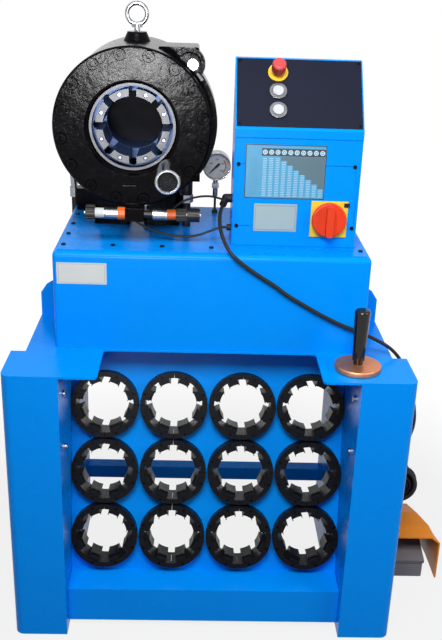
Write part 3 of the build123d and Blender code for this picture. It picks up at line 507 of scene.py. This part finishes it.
def fromHead(x, z):
    return np.hypot(x + 176, z - 1136)


console = {
    "foldY": 59, "foldZ": 1146, "tilt": math.radians(52.1),
    "buttonX": 130, "rows": (130.7, 84.8, 39.9), "plateTop": 2,
}


def consoleHeight(y, z):
    tilt = console["tilt"]
    return -(y - console["foldY"]) * math.sin(tilt) + (z - console["foldZ"]) * math.cos(tilt)


for name in ("columns", "deck", "stand_rails"):
    dress(name, "blue", width=0.0012)
dress("rack_sheet", "blue")
for name in ("cabinet_shell", "cabinet_lid", "box_body"):
    dress(name, "blue", width=0.0010)
dress(
    "box_cover", "blue",
    ("chart", lambda x, y, z: (y < 56.95) & (z > 990) & (x < 240)),
    ("label", lambda x, y, z: (y < 56.95) & (z < 990) & (x < 185)),
    ("black", lambda x, y, z: (y < 56.5) & (x > 270)), width=0.0004,
)
dress("head_front_ring", "headBlack", width=0.0022)
dress("head_housing", "headBlack", width=0.0025)
dress("head_bolts", "headBlack", width=0.0005)
# The bore tube's body takes the bore finish, whose navy blue is painted blue light; its front end is plain
# ground steel.
dress(
    "bore_tube", "bore",
    ("disc", lambda x, y, z: (y > 245.9) & (y < 254.1) & (fromHead(x, z) < 62.8)),
    ("jaw", lambda x, y, z: y < 100), width=0.0006,
)
# The piston takes the same bore finish with its painted blue light.
dress("piston", "bore", width=0.0008)
# The jaws' tails take the bore finish, whose navy blue is painted blue light; their noses are plain ground
# steel.
for i in range(1, 9):
    dress(
        "jaw_%d" % i, "bore",
        ("jaw", lambda x, y, z: (y < 88.5) & (fromHead(x, z) > 64)),
        ("bright", lambda x, y, z: (y > 86.4) & (y < 87.9)), width=0.0007,
    )
for i in range(1, 13):
    dress("die_set_%02d" % i, "oxide", width=0.0007)
dress("eye_bolt", "bright", width=0.0006)
dress("head_fittings", "bright", width=0.0006)
dress("small_screws", "oxide", ("bright", lambda x, y, z: z < 640), width=0.0003)
dress(
    "work_lamp", "bright",
    ("disc", lambda x, y, z: (np.hypot(x + 97, z - 1048) < 20.6) & (y > -38)), width=0.0008,
)
dress("lenses", "glass")
dress("adjuster_bracket", "headBlack", width=0.0012)
dress(
    "adjuster_rod", "bright",
    ("white", lambda x, y, z: (x > -253.1) & (x < -233.9) & offRod(y, z)),
    ("black", lambda x, y, z: (((x > -149.1) & (x < -129.9)) | (x > -57.5)) & offRod(y, z)),
    ("orange", lambda x, y, z: (x > -204.95) & (x < -188.9) & offRod(y, z)),
    ("orange", lambda x, y, z: (x > -99.95) & (x < -80.8) & offRod(y, z)),
    width=0.0005,
)
dress("open_knob", "black", width=0.0004)
dress("close_knob", "black", width=0.0004)
dress(
    "console_panel", "slate",
    ("bright", lambda x, y, z: abs(consoleHeight(y, z) - 1.0) > 1.03), width=0.0004,
)
dress("yellow_plates", "yellow", width=0.0008)
dress("stop_button", "red", width=0.0006)
dress("start_button", "buttonGrey", width=0.0003)
dress("release_button", "buttonGrey", width=0.0003)
dress("switch_knob", "orangeRed", width=0.0010)
dress(
    "gauge_case", "bright",
    ("paper", lambda x, y, z: (y > 329.9) & (y < 330.6) & (np.hypot(x - 10, z - 1005) < 31)), width=0.0004,
)
dress("gauge_needle", "ink")
dress("hoses_and_glands", "rubber", width=0.0005)
dress("inner_equipment", "machineGrey")
dress("pedal_base", "pedalBase", width=0.0012)
dress("pedal_treadle", "pedal", width=0.0008)
dress("pedal_guard", "guard", width=0.0010)
dress(
    "change_tool", "copper",
    ("glossBlack", lambda x, y, z: (z > 675.35) & (np.hypot(x - 316, y + 84) < 25)), width=0.0008,
)
print("nodes dressed")


def place(name, mesh, key, body, slot=None, smooth=True):
    obj = bpy.data.objects.new(name, mesh)
    bpy.context.scene.collection.objects.link(obj)
    mesh.materials.append(finishes[key])
    if smooth:
        mesh.polygons.foreach_set("use_smooth", [True] * len(mesh.polygons))
        mesh.set_sharp_from_angle(angle=math.radians(35))
    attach(obj, body)
    return obj


def turnOnto(axis):
    return Vector((0, 0, 1)).rotation_difference(Vector(axis)).to_matrix().to_4x4()


def turnedInto(bm, outline, centre, axis, steps=48):
    # outline: (radius, height) in millimetres along axis, from one pole or rim to the other
    start = len(bm.verts)
    verts = [bm.verts.new((r / 1000, 0, h / 1000)) for r, h in outline]
    edges = [bm.edges.new((verts[i], verts[i + 1])) for i in range(len(verts) - 1)]
    turned = {"cent": (0, 0, 0), "axis": (0, 0, 1), "angle": 2 * math.pi}
    bmesh.ops.spin(bm, geom=verts + edges, steps=steps, use_merge=True, **turned)
    bm.verts.ensure_lookup_table()
    fresh = bm.verts[start:]
    bmesh.ops.remove_doubles(bm, verts=fresh, dist=0.000001)
    bm.verts.ensure_lookup_table()
    fresh = bm.verts[start:]
    bmesh.ops.transform(bm, matrix=Matrix.Translation(centre) @ turnOnto(axis), verts=fresh)
    bmesh.ops.recalc_face_normals(bm, faces=list({f for v in fresh for f in v.link_faces}))


def meshOf(name, fill):
    bm = bmesh.new()
    fill(bm)
    mesh = bpy.data.meshes.new(name)
    bm.to_mesh(mesh)
    bm.free()
    return mesh


def slab(bm, low, high):
    made = bmesh.ops.create_cube(bm, size=1)["verts"]
    size = high - low
    matrix = Matrix.Translation((low + high) / 2) @ Matrix.Diagonal((*size, 1))
    bmesh.ops.transform(bm, matrix=matrix, verts=made)


# Blank sticker on the cabinet's face: bare white with a faint ruled frame.
stickerLow = at(stickerSheet["left"], stickerSheet["front"], stickerSheet["bottom"])
stickerHigh = at(stickerSheet["right"], stickerSheet["back"], stickerSheet["top"])
stickerMesh = meshOf("cabinetSticker", lambda bm: slab(bm, stickerLow, stickerHigh))
place("cabinetSticker", stickerMesh, "sticker", "machine", "light_grey_plastic", smooth=False)

# Gauge dial: ticks round three quarters of a turn, numbers and a red arc.
gauge = {
    "centre": (10, 330, 1005), "first": -135, "sweep": 270, "major": 8, "minor": 5, "rim": 28.5,
    "numbers": ("0", "100", "200", "300", "400"),
}


def gaugePoint(turn, radius, lift=0.0):
    a = math.radians(turn)
    x, y, z = gauge["centre"]
    return at(x + radius * math.sin(a), y - lift, z + radius * math.cos(a))


def gaugeTicks(bm):
    count = gauge["major"] * gauge["minor"]
    for i in range(count + 1):
        turn = gauge["first"] + gauge["sweep"] * i / count
        long = i % gauge["minor"] == 0
        made = bmesh.ops.create_cube(bm, size=1)["verts"]
        size = (0.0007 if long else 0.00035, 0.0002, 0.0044 if long else 0.0026)
        middle = gaugePoint(turn, gauge["rim"] - (2.2 if long else 1.3), 0.12)
        spin = Matrix.Rotation(math.radians(turn), 4, "Y")
        matrix = Matrix.Translation(middle) @ spin @ Matrix.Diagonal((*size, 1))
        bmesh.ops.transform(bm, matrix=matrix, verts=made)


def gaugeArc(bm):
    start, end, steps = gauge["first"] + gauge["sweep"] * 0.68, gauge["first"] + gauge["sweep"], 26
    verts = [bm.verts.new(gaugePoint(start, r, 0.06)) for r in (20.5, 23.0)]
    edge = bm.edges.new(verts)
    centre = gaugePoint(0, 0, 0.06)
    sweep = math.radians(end - start)
    bmesh.ops.spin(bm, geom=verts + [edge], cent=centre, axis=(0, 1, 0), angle=sweep, steps=steps)
    bmesh.ops.solidify(bm, geom=bm.faces[:], thickness=0.00012)
    bmesh.ops.recalc_face_normals(bm, faces=bm.faces[:])


place("gaugeTicks", meshOf("gaugeTicks", gaugeTicks), "ink", "machine", "black_plastic", smooth=False)
place("gaugeArc", meshOf("gaugeArc", gaugeArc), "band", "machine", "red_plastic", smooth=False)

for i, number in enumerate(gauge["numbers"]):
    turn = gauge["first"] + gauge["sweep"] * i / (len(gauge["numbers"]) - 1)
    letters = bpy.data.curves.new("gaugeNumber", "FONT")
    letters.body = number
    letters.size = 0.0062
    letters.extrude = 0.00008
    letters.align_x = "CENTER"
    letters.align_y = "CENTER"
    holder = bpy.data.objects.new("gaugeNumber", letters)
    bpy.context.scene.collection.objects.link(holder)
    bpy.context.view_layer.update()
    mesh = bpy.data.meshes.new_from_object(holder.evaluated_get(bpy.context.evaluated_depsgraph_get()))
    bpy.data.objects.remove(holder)
    upright = Matrix.Rotation(math.radians(90), 4, "X")
    mesh.transform(Matrix.Translation(gaugePoint(turn, 15.8, 0.1)) @ upright)
    mesh.materials.clear()
    place("gaugeNumber%d" % i, mesh, "ink", "machine", "black_plastic", smooth=False)


# Button faces: a raised ring on the start and release buttons.
def onConsole(x, v, w):
    tilt = console["tilt"]
    y = console["foldY"] + v * math.cos(tilt) - w * math.sin(tilt)
    z = console["foldZ"] + v * math.sin(tilt) + w * math.cos(tilt)
    return at(x, y, z)


consoleOut = (0, -math.sin(console["tilt"]), math.cos(console["tilt"]))
for key, v in (("start_button", console["rows"][1]), ("release_button", console["rows"][2])):
    face = onConsole(console["buttonX"], v, console["plateTop"] + 8.2)
    outline = [(8.2, -0.2), (8.2, 0.35), (7.9, 0.5), (7.4, 0.5), (7.1, 0.35), (7.1, -0.2)]
    ringMesh = meshOf(key + "Ring", lambda bm: turnedInto(bm, outline, face, consoleOut))
    place(key + "Ring", ringMesh, "white", key, "light_grey_plastic")
print("small pieces made")


def cordPiece(name, points, radius, key, resolution=10):
    curve = bpy.data.curves.new(name, "CURVE")
    curve.dimensions = "3D"
    curve.bevel_depth = radius / 1000
    curve.bevel_resolution = 3
    curve.resolution_u = resolution
    curve.use_fill_caps = True
    spline = curve.splines.new("NURBS")
    spline.points.add(len(points) - 1)
    for point, target in zip(spline.points, points):
        point.co = (*at(*target), 1)
    spline.order_u = 3
    spline.use_endpoint_u = True
    curve.materials.append(finishes[key])
    obj = bpy.data.objects.new(name, curve)
    bpy.context.scene.collection.objects.link(obj)
    return obj


exitWay = Vector((-0.3, -0.8, -0.52)).normalized()
elbow = Vector((27, 104, 984))
cordStart = elbow + exitWay * 22
coil = {"x": 512, "y": 215, "z": 194.3, "ring": 37, "layer": 14, "inner": 7.6, "perTurn": 14, "spread": 1.015}
pedalRoute = [
    tuple(cordStart), tuple(cordStart + exitWay * 20),
    (13, 48, 946), (16, 28, 928), (25, 8, 908), (40, -9, 888),
    (67, -9, 866), (102, -7, 841), (134, -7, 822), (162, -7, 800), (195, -7, 781),
    (240, -7, 755), (291, -7, 730), (332, -8, 716), (368, -10, 700), (400, -10, 682), (426, -9, 654),
    (446, -4, 616), (462, 3, 574), (474, 11, 532), (483, 24, 492), (489, 48, 452), (493, 80, 414),
    (497, 116, 376), (502, 152, 338), (508, 186, 300), (520, 208, 268),
]
# The cable winds into its coil: outer turns first, then the inner ones, and back out at the foot.
layers = [(coil["layer"], a) for a in range(0, 240, 40)]
layers += [(coil["inner"], a) for a in range(240, -60, -60)]
layers += [(coil["layer"], a) for a in (320, 285)]
turns = []
for away, angle in layers:
    a = math.radians(angle)
    turns.append((coil["ring"] + away * math.cos(a), away * math.sin(a)))
coilPoints = []
steps = coil["perTurn"]
for i in range(len(turns) * steps - 5):
    share = i / steps
    k = min(int(share), len(turns) - 1)
    after = min(k + 1, len(turns) - 1)
    mix = max(0.0, (share - k - 0.7) / 0.3)
    reach = turns[k][0] * (1 - mix) + turns[after][0] * mix
    side = turns[k][1] * (1 - mix) + turns[after][1] * mix
    a = 2 * math.pi * share + math.radians(12)
    reach *= coil["spread"]
    coilPoints.append((coil["x"] + reach * math.cos(a), coil["y"] + side, coil["z"] - reach * math.sin(a)))
pedalCord = cordPiece("pedalCord", pedalRoute + coilPoints, 4, "cord", 8)
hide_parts("pedal_cord", "cord_coil")
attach(pedalCord, "machine")
at(*cordStart)

leadRoutes = {
    "sensorLeadUpper": [
        (-90, 57, 960), (-90, 72, 960), (-84, 88, 966), (-66, 100, 976), (-40, 107, 983),
        (-12, 113, 985), (8, 120, 980), (18, 122, 976), (30, 122, 976),
    ],
    "sensorLeadLower": [
        (-197, 57, 960), (-197, 72, 960), (-193, 86, 952), (-178, 92, 934), (-152, 91, 917),
        (-116, 87, 905), (-76, 82, 899), (-38, 80, 901), (-4, 84, 914), (18, 87, 922), (30, 87, 922),
    ],
}
for (name, route), node, length in zip(leadRoutes.items(), ("sensor_lead_1", "sensor_lead_2"), (0.17, 0.30)):
    lead = cordPiece(name, route, 2.5, "cord")
    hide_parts(node)
    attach(lead, "machine")
    at(*route[0])
print("cords laid")


# The floor shows near white to the camera and keeps the shadow. Its bounce on the machine stays low.
floorMesh = meshOf("studioFloor", lambda bm: bmesh.ops.create_grid(bm, x_segments=1, y_segments=1, size=6))
floor = bpy.data.objects.new("studioFloor", floorMesh)
bpy.context.scene.collection.objects.link(floor)
floorPaint = bpy.data.materials.new("paleFloor")
floorPaint.use_nodes = True
floorPaint.node_tree.nodes.clear()
ground = Paint(floorPaint.node_tree)


def seenBy(paint):
    rays = paint.tree.nodes.new("ShaderNodeLightPath").outputs
    direct = Wire(paint, rays["Is Camera Ray"]) + Wire(paint, rays["Is Glossy Ray"])
    return direct + Wire(paint, rays["Is Transmission Ray"])


floorSettings = {
    "colour": (0.24, 0.24, 0.25), "near": 0.80, "nearReach": 0.75, "farReach": 1.5, "white": 1.06,
}
x, y, z = ground.parts(ground.place())
away = (x * x + y * y) ** 0.5
beyond = (away - floorSettings["nearReach"]) / (floorSettings["farReach"] - floorSettings["nearReach"])
farShare = ground.ramp(beyond, (0, (0, 0, 0)), (1, (1, 1, 1)))
share = seenBy(ground) * (farShare * (1 - floorSettings["near"]) + floorSettings["near"])
matt = ground.node("ShaderNodeBsdfDiffuse", {}, {"Color": floorSettings["colour"]})
plain = ground.node("ShaderNodeEmission", {}, {"Color": (1, 1, 1), "Strength": floorSettings["white"]})
floorOut = floorPaint.node_tree.nodes.new("ShaderNodeOutputMaterial")
floorMix = ground.node("ShaderNodeMixShader", {}, {0: share, 1: matt, 2: plain})
floorPaint.node_tree.links.new(floorMix.socket, floorOut.inputs[0])
floorMesh.materials.append(floorPaint)

world = bpy.data.worlds.new("studio")
bpy.context.scene.world = world
world.use_nodes = True
sky = Paint(world.node_tree)
world.node_tree.nodes.clear()
skyOut = world.node_tree.nodes.new("ShaderNodeOutputWorld")
dim = sky.node("ShaderNodeBackground", {}, {"Color": (0.9, 0.95, 1.0), "Strength": 0.09})
white = sky.node("ShaderNodeBackground", {}, {"Color": (1.0, 1.0, 1.0), "Strength": 1.0})
skyMix = sky.node("ShaderNodeMixShader", {}, {0: seenBy(sky), 1: dim, 2: white})
world.node_tree.links.new(skyMix.socket, skyOut.inputs[0])

lamps = {
    "keyPanel": {
        "place": (-150, -1500, 2400), "aim": (0, 100, 850),
        "size": (1.2, 0.8), "power": 57,
    },
    "fillPanel": {
        "place": (1700, -900, 1600), "aim": (480, 150, 300),
        "size": (0.9, 0.9), "power": 15,
    },
    "topPanel": {
        "place": (0, 300, 2900), "aim": (0, 150, 900),
        "size": (1.4, 1.4), "power": 7, "matteOnly": True,
    },
    "catchPanel": {
        "place": (-300, -1850, 1060), "aim": (-176, 66, 1200),
        "size": (0.34, 0.12), "power": 30, "glossOnly": True,
    },
}
for name, lamp in lamps.items():
    light = bpy.data.lights.new(name, "AREA")
    light.shape = "RECTANGLE"
    light.size, light.size_y = lamp["size"]
    light.energy = lamp["power"]
    holder = bpy.data.objects.new(name, light)
    holder.location = at(*lamp["place"])
    holder.visible_diffuse = not lamp.get("glossOnly", False)
    holder.visible_glossy = not lamp.get("matteOnly", False)
    holder.rotation_euler = (at(*lamp["aim"]) - holder.location).to_track_quat("-Z", "Y").to_euler()
    bpy.context.scene.collection.objects.link(holder)

view = {"place": (-38.4, -1846.9, 1474.7), "yaw": -0.0327, "pitch": 0.3805, "roll": 0.0341, "lens": 50.98}
camera = bpy.data.cameras.new("frontCamera")
camera.sensor_fit = "VERTICAL"
camera.sensor_height = 36
camera.lens = view["lens"]
eye = bpy.data.objects.new("frontCamera", camera)
bpy.context.scene.collection.objects.link(eye)
yaw, pitch, roll = view["yaw"], view["pitch"], view["roll"]
ahead = Vector((-math.sin(yaw) * math.cos(pitch), math.cos(yaw) * math.cos(pitch), -math.sin(pitch)))
level = Vector((math.cos(yaw), math.sin(yaw), 0))
upward = level.cross(ahead)
side = level * math.cos(roll) + upward * math.sin(roll)
top = upward * math.cos(roll) - level * math.sin(roll)
turn = Matrix((side, top, -ahead)).transposed().to_4x4()
eye.matrix_world = Matrix.Translation(at(*view["place"])) @ turn
bpy.context.scene.camera = eye
bpy.context.scene.view_settings.view_transform = "Standard"
print("lights and camera set")
